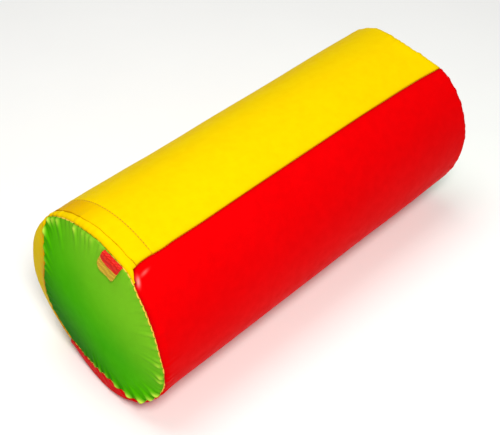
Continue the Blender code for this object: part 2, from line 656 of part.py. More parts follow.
def zip_pieces(tape_cloth, teeth_plastic, metal):
    """The two tapes, the tooth rows, the stops, the slider and its pull tab."""
    row_inner = TEETH_ROW_GAP / 2
    row_outer = row_inner + TEETH_WIDTH
    slider_clear = SLIDER_WIDTH / 2 + FIT_GAP
    tape(
        "zip_tape_near",
        [
            (NEAR_TAPE_EDGE_X, NEAR_TAPE_DEPTH),
            (STRIP_STITCH_X + FIT_GAP, NEAR_TAPE_DEPTH),
            (ZIP_X - slider_clear, TAPE_DEPTH),
            (ZIP_X - row_outer - FIT_GAP, TAPE_DEPTH),
        ],
        tape_cloth,
    )
    tape(
        "zip_tape_far",
        [
            (ZIP_X + row_outer + FIT_GAP, TAPE_DEPTH),
            (ZIP_X + slider_clear, TAPE_DEPTH),
            (FLAP_STITCH_X - STITCH_DIP_HALF_WIDTH, FAR_TAPE_DEPTH),
            (FAR_TAPE_EDGE_X, FAR_TAPE_DEPTH),
        ],
        tape_cloth,
    )
    for side, place in ((-1, "near"), (1, "far")):
        low, high = sorted((ZIP_X + side * row_inner, ZIP_X + side * row_outer))
        section = rectangle(low, high, TEETH_TOP_DEPTH, TEETH_BOTTOM_DEPTH)
        arc_bar(f"zip_teeth_{place}", section, TEETH_START, TEETH_END, teeth_plastic, facet=0.5)
        arc_bar(f"zip_stop_{place}", section, STOP_START, STOP_END, metal)
    section = rectangle(ZIP_X - row_outer, ZIP_X + row_outer, TEETH_TOP_DEPTH, TEETH_BOTTOM_DEPTH)
    bottom_end = BOTTOM_STOP_START + STOP_ANGLE
    arc_bar("zip_bottom_stop", section, BOTTOM_STOP_START, bottom_end, metal)
    zip_slider(metal)
    zip_pull_tab(metal)


def thread_pieces(pale, dark):
    """Seam threads in their valleys and topstitching in its dips."""
    rim_thread("near_rim_thread", -1, pale)
    rim_thread("far_rim_thread", 1, pale)
    long_seam_thread("front_seam_thread", FRONT_SEAM_ANGLE, SHOULDER_LENGTH - HALF_LENGTH, dark)
    long_seam_thread("back_seam_thread", BACK_SEAM_ANGLE, WINDOW_EDGE_X, dark)
    first, last = BACK_SEAM_ANGLE + SEAM_EDGE, FRONT_SEAM_ANGLE - SEAM_EDGE
    over = thread_section(FLAP_STITCH_X, STITCH_RADIUS, STITCH_RADIUS)
    arc_bar("flap_stitch_thread", over, first, last, dark)
    under = thread_section(STRIP_STITCH_X, STRIP_DEPTH + STITCH_RADIUS, STITCH_RADIUS)
    arc_bar("strip_stitch_thread", under, first, last, dark)


def main():
    for old in list(bpy.data.objects):
        bpy.data.objects.remove(old)
    yellow = make_material("yellow vinyl", YELLOW, 0.38)
    red = make_material("red vinyl", RED, 0.38)
    green = make_material("green vinyl", GREEN, 0.42)
    pale_thread = make_material("pale thread", (0.80, 0.72, 0.38), 0.7)
    dark_thread = make_material("dark yellow thread", (0.55, 0.33, 0.02), 0.7)
    tape_cloth = make_material("woven zip tape", (0.85, 0.62, 0.02), 0.85)
    teeth_plastic = make_material("zip teeth", (0.80, 0.58, 0.03), 0.4)
    metal = make_material("nickel-plated zinc", (0.62, 0.61, 0.58), 0.3, metallic=1.0)
    foam = make_material("foam", (0.86, 0.84, 0.76), 0.95)
    label_cloth = make_material("label satin", (0.75, 0.04, 0.02), 0.6)

    foam_core(foam)
    cover_pieces(yellow, red, green)
    zip_pieces(tape_cloth, teeth_plastic, metal)
    thread_pieces(pale_thread, dark_thread)
    label_tag(label_cloth)
    label_stitch(pale_thread)
    flap_end_tack(dark_thread)


main()
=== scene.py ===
"""Looks of the baby crawling roller: a sewn cover of coated fabric over a firm foam core.

Angles are measured about the roller's axis from +Y towards +Z. A place along the roller is
measured on the cover, so it runs on round the corner of each end and over its dome.
"""

import math

import bpy
import numpy as np
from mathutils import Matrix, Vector


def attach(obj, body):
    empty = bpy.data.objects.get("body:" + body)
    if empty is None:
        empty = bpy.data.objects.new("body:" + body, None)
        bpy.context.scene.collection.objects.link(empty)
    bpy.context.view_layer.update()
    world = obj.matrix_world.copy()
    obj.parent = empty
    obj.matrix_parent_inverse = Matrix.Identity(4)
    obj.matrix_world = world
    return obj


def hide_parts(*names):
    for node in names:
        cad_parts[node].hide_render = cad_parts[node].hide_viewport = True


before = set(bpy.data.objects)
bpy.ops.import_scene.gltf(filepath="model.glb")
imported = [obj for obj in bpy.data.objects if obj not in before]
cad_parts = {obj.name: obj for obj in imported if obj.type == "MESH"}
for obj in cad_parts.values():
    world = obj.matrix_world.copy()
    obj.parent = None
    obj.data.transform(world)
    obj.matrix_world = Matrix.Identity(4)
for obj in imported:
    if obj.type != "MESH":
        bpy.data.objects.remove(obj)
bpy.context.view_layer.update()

# The roller's own sizes, as its solids have them, in metres and radians
RADIUS = 0.100
AXIS_HEIGHT = 0.099
FRONT_SEAM = math.radians(121.5)
BACK_SEAM = FRONT_SEAM - math.pi
FLAP_EDGE = -0.2108
FLAP_STITCH = -0.1898
STRIP_EDGE = -0.2063
STRIP_STITCH = -0.2085
STRIP_DEPTH = 0.0011
WINDOW_EDGE = -0.1923
WINDOW_END = math.radians(-36.95)
ZIP_X = -0.2003
ZIP_START = math.radians(-56.49)
ZIP_END = math.radians(119.49)
TAPE_THICKNESS = 0.0006
TEETH_TOP = 0.0046
TEETH_BOTTOM = 0.0064
TEETH_RADIUS = RADIUS - 0.0055
TEETH_PITCH = 0.003
TEETH_START, TEETH_END = -0.8765, 1.968

# How the ends of the real cover sit on the foam
DOME_HEIGHT = 0.014
CORNER = 0.0075
CORNER_TURN = math.pi / 2 - math.atan(2 * DOME_HEIGHT / (RADIUS - 0.0055))
FACE_RADIUS = RADIUS - CORNER * (1 - math.cos(CORNER_TURN))
CORNER_LENGTH = CORNER * CORNER_TURN
NEAR_END = -0.224
FAR_END = 0.2275
BACK_LEAN = 0.003
TOP_LEAN = 0.006

# Its seams: how their edges roll in and are tucked under, and their folds and stitches
SEAM_ROLL = 0.0016
SEAM_DEPTH = 0.0028
SEAM_TUCK = 0.0012
GATHERS = 86
GATHER_PITCH = 0.0070
SIDE_FOLD = 0.0010
END_FOLD = 0.0027
RIM_REACH = 0.016
STITCH_PITCH = 0.0035
STITCH_THICKNESS = 0.0006

LABEL_TURN = math.radians(111.0)
LABEL_WIDTH = 0.023
LABEL_HEIGHT = 0.019

# The camera as fitted to the photo, with its focal length in the photo's pixels
PHOTO_WIDTH = 500
FOCAL_LENGTH = 1006.6
SENSOR_WIDTH = 36.0
CAMERA_PLACE = (-0.57994, -0.55221, 0.80305)
CAMERA_TARGET = (-0.01572, 0.0, 0.08168)


# ---------------------------------------------------------------- shapes


def round_curve(degrees, values, smooth=3.0):
    """Smooth closed curve of a value against the angle, through the given degrees."""
    fine = np.arange(0, 360, 0.5)
    raw = np.interp(fine, degrees, values, period=360)
    reach = np.arange(-60, 61) * 0.5
    weight = np.exp(-((reach / smooth) ** 2))
    padded = np.concatenate([raw[-60:], raw, raw[:60]])
    table = np.convolve(padded, weight / weight.sum(), mode="valid")

    def value(angle):
        return np.interp(np.degrees(angle) % 360, fine, table, period=360)

    return value


def unevenness(length, count, seed):
    """Soft irregular unevenness in space with waves of about the given length, from -1 to 1 or so."""
    own = np.random.default_rng(seed)
    ways = own.normal(0, 1, (count, 3))
    ways *= 2 * math.pi / length / np.linalg.norm(ways, axis=1, keepdims=True) * own.uniform(0.7, 1.3, (count, 1))
    starts = own.uniform(0, 2 * math.pi, count)

    def value(points):
        total = np.zeros(points.shape[:-1])
        for way, start in zip(ways, starts):
            total += np.sin(points @ way + start)
        return total / math.sqrt(count)

    return value


def ease(value, start, end):
    """Runs smoothly from 0 at start to 1 at end."""
    share = np.clip((value - start) / (end - start), 0, 1)
    return share * share * (3 - 2 * share)


def hump(distance, width):
    """Falls smoothly from 1 at no distance to nearly 0 at twice the width."""
    return np.exp(-((distance / width) ** 2))


# The near end leans, its top drawn in, and its cover stands out a few mm further where it is slack
lean_degrees = list(range(0, 360, 12))
near_slack = [5.5, 5, 5.5, 4.5, 2.5, 1, *[0] * 12, 0.5, 2.5, 3.5, 4, 2.5, 1.5, 0, 0, 1, 2, 3.5, 5]
near_end_x = round_curve(
    lean_degrees,
    [
        NEAR_END + BACK_LEAN * math.cos(math.radians(a)) + TOP_LEAN * math.sin(math.radians(a)) - slack / 1000
        for a, slack in zip(lean_degrees, near_slack)
    ],
    10,
)
far_end_x = round_curve(
    [0, 30, 54, 67, 81, 93, 103, 120, 129, 174, 190, 203, 217, 240, 270, 301, 330],
    [0.230, 0.232, 0.2345, 0.231, 0.2235, 0.2185, 0.2185, 0.226, 0.2315, 0.232, 0.230, 0.227, 0.226, 0.229,
     0.231, 0.229, 0.230],
    5,
)
# How far past the corner's start the rim seams lie: the near end's cover is pulled upwards
near_seam_past = round_curve(
    [0, 12, 24, 36, 48, 60, 72, 84, 98, 110, 120, 125, 133, 150, 171, 181, 200, 215, 228, 240, 252, 264, 276,
     288, 300, 312, 324, 336, 348],
    [0.0365, 0.0385, 0.0370, 0.0215, 0.0045, 0.0070, 0.0092, 0.0100, 0.0088, 0.0090, 0.0072, 0.0074, 0.0104,
     0.0114, 0.0100, 0.0070, 0.0030, 0.0035, 0.0060, 0.0225, 0.0340, 0.0340, 0.0315, 0.0285, 0.0230, 0.0230,
     0.0255, 0.0320, 0.0345],
    3,
)
far_seam_past = round_curve([0, 60, 93, 125, 180, 240, 300], [0.011, 0.010, 0.0075, 0.009, 0.011, 0.012, 0.012], 12)
# The yellow strip runs on past the front seam, below the red half, and shows there as a thin wedge
strip_wedge = round_curve(
    [0, 60, 110, 122, 124.6, 128, 131, 180, 270], [0, 0, 0.007, 0.007, 0.0043, 0.0005, 0, 0, 0], 0.8
)
STRIP_POINT = math.radians(131)

near_gather_size = round_curve(
    [0, 20, 40, 60, 76, 88, 100, 112, 130, 170, 186, 200, 250, 266, 280, 300, 340],
    [0.4, 0.6, 1.1, 1.15, 1.05, 0.5, 0.3, 0.25, 0.25, 0.35, 0.75, 1.15, 1.15, 0.8, 0.45, 0.3, 0.35],
    6,
)
far_gather_size = round_curve([0, 90, 180, 270], [0.8, 0.7, 0.6, 0.9], 20)
# How deep in mm the rim's thread lies in its seam: out of sight where the slack cover closes over it
near_thread_depth = round_curve(
    [0, 30, 60, 100, 122, 134, 180, 230, 262, 285, 330], [2.2, 2.0, 1.4, 1.3, 1.2, 0.7, 0.7, 0.8, 1.2, 2.2, 2.2], 5
)
far_thread_depth = round_curve([0, 180], [0.8, 0.8], 6)

SEAM_PLACES = np.array(
    [-0.24, -0.2145, -0.210, -0.2045, -0.195, -0.186, -0.177, -0.167, -0.158, -0.1335, -0.082, 0.001, 0.092,
     0.157, 0.19, 0.2236, 0.24]
)
SEAM_DEGREES = np.array(
    [122.2, 121.8, 121.3, 120.75, 120.6, 121.05, 121.3, 120.95, 121.05, 121.3, 121.2, 121.1, 121.35, 121.9,
     122.5, 123.9, 124.5]
)


def front_seam(place):
    """Angle of the seam between yellow and red on the camera's side."""
    fine = np.linspace(-0.26, 0.26, 521)
    raw = np.interp(fine, SEAM_PLACES, SEAM_DEGREES)
    reach = np.arange(-8, 9)
    weight = np.exp(-((reach / 3.5) ** 2))
    table = np.convolve(np.pad(raw, 8, mode="edge"), weight / weight.sum(), mode="valid")
    return np.radians(np.interp(place, fine, table))


def back_seam(place):
    """Angle of the hidden seam between yellow and red."""
    return BACK_SEAM + 0.004 * np.sin(place * 23) + 0.002 * np.sin(place * 61 + 1)


class Gathers:
    """The small folds that a rim seam draws into the cover: one from each stitch to the next."""

    def __init__(self, count, size, seed):
        own = np.random.default_rng(seed)
        steps = 1 + own.uniform(-0.22, 0.22, count)
        self.edges = np.concatenate([[0], np.cumsum(steps)]) / steps.sum() * 2 * math.pi
        self.count = count
        self.size = size
        # Every second stitch or so throws up a bold fold, and the ones between stay low
        bold = (np.arange(count) + (own.uniform(0, 1, count) < 0.15)) % 2 == 0
        self.height = np.where(bold, own.uniform(0.8, 1.5, count), own.uniform(0.1, 0.4, count))
        self.reach = np.where(bold, own.uniform(0.0085, 0.0145, count), own.uniform(0.004, 0.007, count))
        self.slant = own.normal(0, 0.10, count)

    def fold(self, angle, away):
        """Height of the fold and depth of the valley, at an angle and a distance away from the seam."""
        turn = np.asarray(angle) % (2 * math.pi)
        index = np.clip(np.searchsorted(self.edges, turn, side="right") - 1, 0, self.count - 1)
        low, high = self.edges[index], self.edges[index + 1]
        share = np.clip((turn - low) / (high - low), 0, 1)
        share = np.clip(share + self.slant[index] * away / self.reach[index] * share * (1 - share) * 4, 0, 1)
        ridge = 1 - np.abs(2 * share - 1) ** 2.3
        fade = np.exp(-((away / self.reach[index]) ** 1.6))
        rise = 0.45 + 0.55 * ease(away, 0, 0.003)
        return ridge * fade * rise * self.height[index] * self.size(angle), 1 - ridge


near_gathers = Gathers(GATHERS, near_gather_size, 5)
far_gathers = Gathers(GATHERS, far_gather_size, 6)

broad_waves = unevenness(0.13, 9, 31)
hand_waves = unevenness(0.042, 14, 32)
small_waves = unevenness(0.013, 16, 33)


def form(place, angle):
    """Bare form below the cover: x, radius and the outward normal, at a place and an angle."""
    near = near_end_x(angle) + CORNER
    far = far_end_x(angle) - CORNER
    side = np.where(place < 0, -1.0, 1.0)
    past = np.maximum(np.where(side < 0, near - place, place - far), 0)
    start = np.where(side < 0, near, far)
    middle = np.where(side < 0, NEAR_END + CORNER, FAR_END - CORNER)
    turn = np.minimum(past / CORNER, CORNER_TURN)
    inwards = np.maximum(past - CORNER_LENGTH, 0)
    radius = RADIUS - CORNER * (1 - np.cos(turn)) - inwards
    on_side = np.where(past > 0, start + side * CORNER * np.sin(turn), place)
    share = np.clip(radius / FACE_RADIUS, 0, 1)
    dome = DOME_HEIGHT * (1 - share**2)
    # The end's lean and bulges fade towards its middle
    on_dome = middle + side * (CORNER * math.sin(CORNER_TURN) + dome) + (start - middle) * share**1.4
    on_face = inwards > 0
    x = np.where(on_face, on_dome, on_side)
    slope = np.arctan(2 * DOME_HEIGHT * share / FACE_RADIUS)
    normal_x = side * np.where(on_face, np.cos(slope), np.sin(turn))
    normal_r = np.where(on_face, np.sin(slope), np.cos(turn))
    return x, radius, normal_x, normal_r


def near_seam_place(angle):
    """Place of the near rim seam, which runs a little unevenly from stitch to stitch."""
    ridge, _ = near_gathers.fold(angle, 0.0)
    return near_end_x(angle) + CORNER - near_seam_past(angle) - 0.0006 * ridge


def far_seam_place(angle):
    """Place of the far rim seam."""
    ridge, _ = far_gathers.fold(angle, 0.0)
    return far_end_x(angle) - CORNER + far_seam_past(angle) + 0.0006 * ridge


def roll_depth(away, roll=SEAM_ROLL):
    """How deep an edge rolls in with the given radius, at a distance from it."""
    left = np.clip(roll - away, 0, roll)
    return roll - np.sqrt(np.maximum(roll**2 - left**2, 0))


def placed(x, radius, angle, least=0.0):
    """Points at x, radius and angle about the axis, kept above the floor."""
    x, radius, angle = np.broadcast_arrays(x, radius, angle)
    height = np.maximum(AXIS_HEIGHT + radius * np.sin(angle), least)
    return np.stack([x, radius * np.cos(angle), height], axis=-1)


def cover_points(place, angle, lift=0.0, disc=False):
    """Points of the cover with its gathers and soft unevenness, lifted along the normal."""
    x, radius, normal_x, normal_r = form(place, angle)
    from_near = np.abs(place - near_seam_place(angle))
    from_far = np.abs(far_seam_place(angle) - place)
    near_fold, near_valley = near_gathers.fold(angle, from_near)
    far_fold, far_valley = far_gathers.fold(angle, from_far)
    raise_by = lift + (END_FOLD if disc else SIDE_FOLD) * (near_fold + far_fold)
    raise_by = raise_by - roll_depth(from_near) * (0.75 + 0.45 * near_valley)
    raise_by = raise_by - roll_depth(from_far) * (0.75 + 0.45 * far_valley)
    rim = np.exp(-from_near / RIM_REACH) + np.exp(-from_far / RIM_REACH)
    bare = placed(x, radius, angle)
    raise_by = raise_by + 0.00018 * hand_waves(bare) * (0.4 + rim)
    raise_by = raise_by + (0.0007 if disc else 0.0003) * broad_waves(bare)
    raise_by = raise_by + 0.00012 * small_waves(bare) * rim
    return placed(x + normal_x * raise_by, radius + normal_r * raise_by, angle)


def new_piece(name, vertices, faces, material, sharp_degrees=None):
    """Smooth mesh in the scene; bends beyond the given angle stay sharp."""
    mesh = bpy.data.meshes.new(name)
    mesh.from_pydata(vertices, [], faces)
    mesh.shade_smooth()
    if sharp_degrees is not None:
        mesh.set_sharp_from_angle(angle=math.radians(sharp_degrees))
    mesh.materials.append(material)
    piece = bpy.data.objects.new(name, mesh)
    bpy.context.scene.collection.objects.link(piece)
    return piece


def grid_piece(name, points, material, closed=False, first_cap=False, last_cap=False, flip=False):
    """Mesh from a grid of points in rows and columns.

    A closed one joins its last column to its first, and a cap is a fan that closes a row.
    """
    rows, columns = points.shape[:2]
    row, column = np.meshgrid(np.arange(rows - 1), np.arange(columns if closed else columns - 1), indexing="ij")
    here, after = row * columns + column, row * columns + (column + 1) % columns
    faces = np.stack([here, after, after + columns, here + columns], axis=-1).reshape(-1, 4).tolist()
    vertices = points.reshape(-1, 3).tolist()
    for capped, index, way in ((last_cap, rows - 1, 1), (first_cap, 0, -1)):
        if capped:
            for i in range(columns):
                edge = [index * columns + i, index * columns + (i + 1) % columns]
                faces.append(edge[::way] + [len(vertices)])
            vertices.append(points[index].mean(axis=0).tolist())
    if flip:
        faces = [face[::-1] for face in faces]
    return new_piece(name, vertices, faces, material)


def joined_piece(name, parts, material):
    """One piece from several lists of (vertices, faces)."""
    vertices, faces = [], []
    for part_vertices, part_faces in parts:
        start = len(vertices)
        vertices += [tuple(v) for v in part_vertices]
        faces += [tuple(start + i for i in face) for face in part_faces]
    return new_piece(name, vertices, faces, material, 40)


def tube_faces(rings, sides):
    """Faces of a tube of rings of points, and of its two flat ends."""
    faces = []
    for i in range(rings - 1):
        for j in range(sides):
            k = (j + 1) % sides
            faces.append((i * sides + j, i * sides + k, (i + 1) * sides + k, (i + 1) * sides + j))
    faces.append(tuple(range(sides - 1, -1, -1)))
    faces.append(tuple((rings - 1) * sides + j for j in range(sides)))
    return faces


def stitches(name, path, up, pitch, length, thickness, material, arch=0.0003, shares=None):
    """Row of single stitches along a path of points, each one arched between its two holes.

    The holes lie a pitch apart, or at the given shares of the path.
    """
    path, up = np.asarray(path), np.asarray(up)
    run = np.concatenate([[0], np.cumsum(np.linalg.norm(np.diff(path, axis=0), axis=1))])
    if shares is None:
        count = max(1, int(round(run[-1] / pitch)))
        holes = run[-1] * np.arange(count + 1) / count
    else:
        holes = np.interp(shares, np.linspace(0, 1, len(run)), run)
    stations, sides = 9, 7
    faces = tube_faces(stations, sides)
    share = np.linspace(0, 1, stations)
    bow = np.sin(np.pi * share)[:, None]
    size = thickness / 2 * (0.55 + 0.45 * bow**0.5)
    turn = (2 * math.pi * np.arange(sides) / sides)[None, :, None]
    parts = []
    for before, after in zip(holes, holes[1:]):
        room = (after - before) * (1 - length) / 2
        along = before + room + (after - before - 2 * room) * share
        centre = np.stack([np.interp(along, run, path[:, k]) for k in range(3)], axis=-1)
        out = np.stack([np.interp(along, run, up[:, k]) for k in range(3)], axis=-1)
        out /= np.linalg.norm(out, axis=1, keepdims=True)
        centre = centre + out * (arch * bow**0.6 - thickness * 0.7 * (1 - bow) ** 4)
        tangent = np.gradient(centre, axis=0)
        tangent /= np.linalg.norm(tangent, axis=1, keepdims=True)
        across = np.cross(tangent, out)
        across /= np.linalg.norm(across, axis=1, keepdims=True)
        upwards = np.cross(across, tangent)
        ring = np.cos(turn) * across[:, None] + np.sin(turn) * upwards[:, None]
        parts.append(((centre[:, None] + size[:, None] * ring).reshape(-1, 3), faces))
    return joined_piece(name, parts, material)


# ---------------------------------------------------------------- materials


def linear(hex_colour):
    """Opaque linear colour from an sRGB hex value."""
    shares = [int(hex_colour[i : i + 2], 16) / 255 for i in (1, 3, 5)]
    return (*[s / 12.92 if s <= 0.04045 else ((s + 0.055) / 1.055) ** 2.4 for s in shares], 1.0)


def add_node(tree, kind, settings=None, values=None, links=None):
    """Adds a node with its settings, its input values and its links to earlier nodes."""
    node = tree.nodes.new(kind)
    for key, value in (settings or {}).items():
        setattr(node, key, value)
    for key, value in (values or {}).items():
        node.inputs[key].default_value = value
    for key, (source, output) in (links or {}).items():
        tree.links.new(source.outputs[output], node.inputs[key])
    return node


def new_material(name, shader_values):
    """Material with an empty tree apart from its shader, and the object's own coordinates."""
    material = bpy.data.materials.new(name)
    material.use_nodes = True
    tree = material.node_tree
    shader = tree.nodes["Principled BSDF"]
    for key, value in shader_values.items():
        shader.inputs[key].default_value = value
    return material, tree, shader, (add_node(tree, "ShaderNodeTexCoord"), "Object")


def feed(tree, shader, sources):
    """Links the shader's inputs to the outputs of nodes."""
    for key, (node, output) in sources.items():
        tree.links.new(node.outputs[output], shader.inputs[key])


def noise(tree, place, scale, detail, distortion=0.0):
    """Soft random pattern; its patches are about one metre over the scale."""
    values = {"Scale": scale, "Detail": detail, "Distortion": distortion}
    return add_node(tree, "ShaderNodeTexNoise", None, values, {"Vector": place}), "Fac"


def lines(tree, place, direction, scale, distortion):
    """Soft parallel lines."""
    values = {"Scale": scale, "Distortion": distortion}
    return add_node(tree, "ShaderNodeTexWave", {"bands_direction": direction}, values, {"Vector": place}), "Fac"


def attribute(tree, name):
    """A value that the mesh carries."""
    return add_node(tree, "ShaderNodeAttribute", {"attribute_name": name}), "Fac"


def in_range(tree, value, source, target):
    """Moves a value from its source range to the target range."""
    limits = dict(zip(("From Min", "From Max", "To Min", "To Max"), (*source, *target)))
    return add_node(tree, "ShaderNodeMapRange", None, limits, {"Value": value}), "Result"


def blend(tree, share, low, high):
    """Mixes two colours by a share; each is a hex value or the output of a node."""
    values, links = {}, {0: share}
    for key, colour in ((6, low), (7, high)):
        if isinstance(colour, str):
            values[key] = linear(colour)
        else:
            links[key] = colour
    return add_node(tree, "ShaderNodeMix", {"data_type": "RGBA"}, values, links), 2


def relief(tree, height, strength, distance, below=None):
    """Relief of a pattern, on top of another one where it is given."""
    links = {"Height": height} if below is None else {"Height": height, "Normal": below}
    return add_node(tree, "ShaderNodeBump", None, {"Strength": strength, "Distance": distance}, links), "Normal"


def coated_fabric(name, middle, deep, light, pale, roughness=0.5):
    """PVC-coated polyester, calendered and embossed: an even strong colour with a satin shine,
    broken by a fine leather-like grain and by slow random changes of tone. It carries painted shade and painted
    highlights, from values that the mesh keeps."""
    values = {"IOR": 1.53, "Specular IOR Level": 0.01, "Specular Tint": linear(pale)}
    material, tree, shader, place = new_material(name, values)
    # The coat's tone drifts over about 60 mm and again over about 9 mm
    slow, quick = noise(tree, place, 17.0, 3.0), noise(tree, place, 110.0, 4.0)
    worn = in_range(tree, quick, (0.35, 0.75), (0.0, 0.09))
    shade = blend(tree, worn, blend(tree, slow, middle, light), deep)
    # Painted shade: darker where the mesh marks shade in creases, seams and turned-away parts. Painted highlight:
    # pale where the mesh marks light on folds and on the lit side
    with_painted_shade = blend(tree, attribute(tree, "painted_shade"), shade, deep)
    colour = blend(tree, attribute(tree, "painted_highlight"), with_painted_shade, pale)
    gloss = in_range(tree, quick, (0.3, 0.7), (roughness - 0.05, roughness + 0.07))
    # The embossed grain is about 0.7 mm on the real coat; it is drawn at 1.1 mm so that it shows
    values = {"Scale": 900.0, "Smoothness": 0.6}
    grain = add_node(tree, "ShaderNodeTexVoronoi", {"feature": "SMOOTH_F1"}, values, {"Vector": place})
    emboss = relief(tree, (grain, "Distance"), 0.22, 0.00025)
    # Slight ripples of the coat, about 9 mm long
    ripple = relief(tree, quick, 0.05, 0.001, emboss)
    feed(tree, shader, {"Base Color": colour, "Roughness": gloss, "Normal": ripple})
    return material


def sewing_thread(name, colour, shade):
    """Twisted polyester thread: dull and slightly fuzzy, with the twist's slanting lines."""
    material, tree, shader, place = new_material(name, {"Roughness": 0.72, "Specular IOR Level": 0.2})
    # The ply's twist is about 0.5 mm long; it is drawn at 0.8 mm
    twist = lines(tree, place, "DIAGONAL", 400.0, 1.5)
    plies = relief(tree, twist, 0.5, 0.0001)
    feed(tree, shader, {"Base Color": blend(tree, twist, shade, colour), "Normal": plies})
    return material


def woven_cloth(name, colour, shade, threads_per_metre, roughness):
    """Woven polyester: dull, with the small over-and-under squares of its threads."""
    material, tree, shader, place = new_material(name, {"Roughness": roughness, "Specular IOR Level": 0.2})
    scale = threads_per_metre / 6.283
    along, across = lines(tree, place, "X", scale, 0.4), lines(tree, place, "Z", scale, 0.4)
    weave = add_node(tree, "ShaderNodeMath", {"operation": "MULTIPLY"}, None, {0: along, 1: across}), 0
    threads = relief(tree, weave, 0.5, 0.0002)
    feed(tree, shader, {"Base Color": blend(tree, weave, shade, colour), "Normal": threads})
    return material


def moulded_acetal(name, colour, shade):
    """Acetal, injection moulded: smooth and waxy, a little lighter where it is thin."""
    values = {"Roughness": 0.34, "IOR": 1.48, "Subsurface Weight": 0.05}
    material, tree, shader, place = new_material(name, values)
    cloud = noise(tree, place, 240.0, 2.0)
    feed(tree, shader, {"Base Color": blend(tree, cloud, shade, colour)})
    return material


def plated_zinc(name, colour, shade):
    """Zinc alloy, die cast and nickel plated: bright grey with fine rubbing marks."""
    material, tree, shader, place = new_material(name, {"Metallic": 1.0})
    rub = noise(tree, place, 900.0, 5.0, 0.6)
    gloss = in_range(tree, rub, (0.0, 1.0), (0.2, 0.42))
    dents = relief(tree, rub, 0.15, 0.0001)
    feed(tree, shader, {"Base Color": blend(tree, rub, shade, colour), "Roughness": gloss, "Normal": dents})
    return material


def cut_foam(name, colour, shade):
    """Polyurethane foam, cut from a block: dull cream with open cells about 0.6 mm wide."""
    material, tree, shader, place = new_material(name, {"Roughness": 0.95, "IOR": 1.5})
    cells = add_node(tree, "ShaderNodeTexVoronoi", None, {"Scale": 1100.0}, {"Vector": place}), "Distance"
    pores = relief(tree, cells, 0.8, 0.0004)
    feed(tree, shader, {"Base Color": blend(tree, cells, shade, colour), "Normal": pores})
    return material


def studio_paper(name, colour, shade):
    """Pale paper on the studio floor: matt, with hardly any tone of its own."""
    material, tree, shader, place = new_material(name, {"Roughness": 0.95, "Specular IOR Level": 0.1})
    feed(tree, shader, {"Base Color": blend(tree, noise(tree, place, 6.0, 3.0), shade, colour)})
    return material


YELLOW = coated_fabric("yellow PVC-coated fabric", "#E4C000", "#CC7C00", "#E8C800", "#F4E478")
RED = coated_fabric("red PVC-coated fabric", "#D80003", "#740000", "#E00206", "#FF9C96")
GREEN = coated_fabric("green PVC-coated fabric", "#38A600", "#0A5A00", "#50B800", "#BCDC44", 0.6)
PALE_THREAD = sewing_thread("cream polyester thread", "#F2CE4E", "#D2A426")
DARK_THREAD = sewing_thread("ochre polyester thread", "#C8961A", "#9C6E0E")
TAPE = woven_cloth("yellow woven zip tape", "#F2C21C", "#C78E0A", 1100.0, 0.85)
LABEL_RED = woven_cloth("red woven label", "#F03018", "#C01008", 1400.0, 0.6)
LABEL_OCHRE = woven_cloth("ochre woven label", "#E0BC2C", "#B88E1C", 1400.0, 0.6)
TEETH = moulded_acetal("yellow moulded acetal", "#EBBB22", "#CF9A10")
NICKEL = plated_zinc("nickel-plated zinc", "#D8D6CF", "#B9B6AE")
FOAM = cut_foam("cream polyurethane foam", "#F3ECD2", "#D9CFA8")
PAPER = studio_paper("pale studio paper", "#F8F8F7", "#F4F4F3")


# ---------------------------------------------------------------- the cover


# Steps between a piece's rows of points from its edges inwards, and the rows at the topstitching
EDGE_STEPS = [0.0002, 0.0003, 0.0004, 0.0005, 0.0006, 0.0008]
LONG_EDGE_STEPS = EDGE_STEPS + [0.001] * 6
RIM_STEPS = EDGE_STEPS + [0.001] * 14 + [0.0014, 0.0018, 0.0022, 0.0026, 0.003]
FLAP_STEPS = [0.0004, 0.0006, 0.0008, 0.001, 0.0012, 0.0014, 0.0016, 0.0018, 0.0018, 0.0018, 0.0018]
END_STEPS = EDGE_STEPS + [0.0009] * 16 + [0.0013, 0.0018, 0.0025] + [0.0035] * 8 + [0.005] * 12
STITCH_ROWS = np.array([-0.0022, -0.0016, -0.001, -0.0005, 0, 0.0005, 0.001, 0.0016, 0.0022])


def spread(near_steps, far_steps, length, middle_step):
    """Distances from one edge to the other: fine steps at both, and even coarser ones between."""
    near = np.cumsum([0, *near_steps])
    far = np.cumsum([0, *far_steps])
    gap = length - near[-1] - far[-1]
    count = max(2, int(round(gap / middle_step)))
    middle = near[-1] + gap * np.arange(1, count) / count
    return np.concatenate([near, middle, (length - far)[::-1]])


def mark(piece, name, depth, above=1, below=1):
    """Keeps a value for each row and column of a piece's points, for the colour there."""
    depth = np.pad(np.clip(depth, 0, 1), ((above, below), (0, 0)), mode="edge")
    values = np.zeros(len(piece.data.vertices), np.float32)
    values[: depth.size] = depth.ravel()
    piece.data.attributes.new(name, "FLOAT", "POINT").data.foreach_set("value", values)


def panel(near_place, low_seam, high_seam, near_steps=RIM_STEPS):
    """Half panel of the cover from near_place to the far rim seam, between the two long seams:
    the places and angles of its points, their distance from the long seams and its near edge."""
    length = 0.45
    run = spread(near_steps, RIM_STEPS, length, 0.0042)[:, None]
    arc = math.pi * RADIUS
    share = spread(LONG_EDGE_STEPS, LONG_EDGE_STEPS, arc, 0.00115) / arc

    def between_seams(place):
        low, high = low_seam(place), high_seam(place)
        return low, high, low + (high - low) * share

    _, _, angle = between_seams(np.linspace(-0.225, 0.228, len(run))[:, None])
    near_at = near_place(angle)
    first, last = run[len(near_steps)], run[-1 - len(RIM_STEPS)]
    along = np.clip((run - first) / (last - first), 0, 1)
    place = (near_at + run) * (1 - along) + (far_seam_place(angle) - (length - run)) * along
    low, high, angle = between_seams(place)
    return place, angle, np.minimum(angle - low, high - angle) * RADIUS, near_at


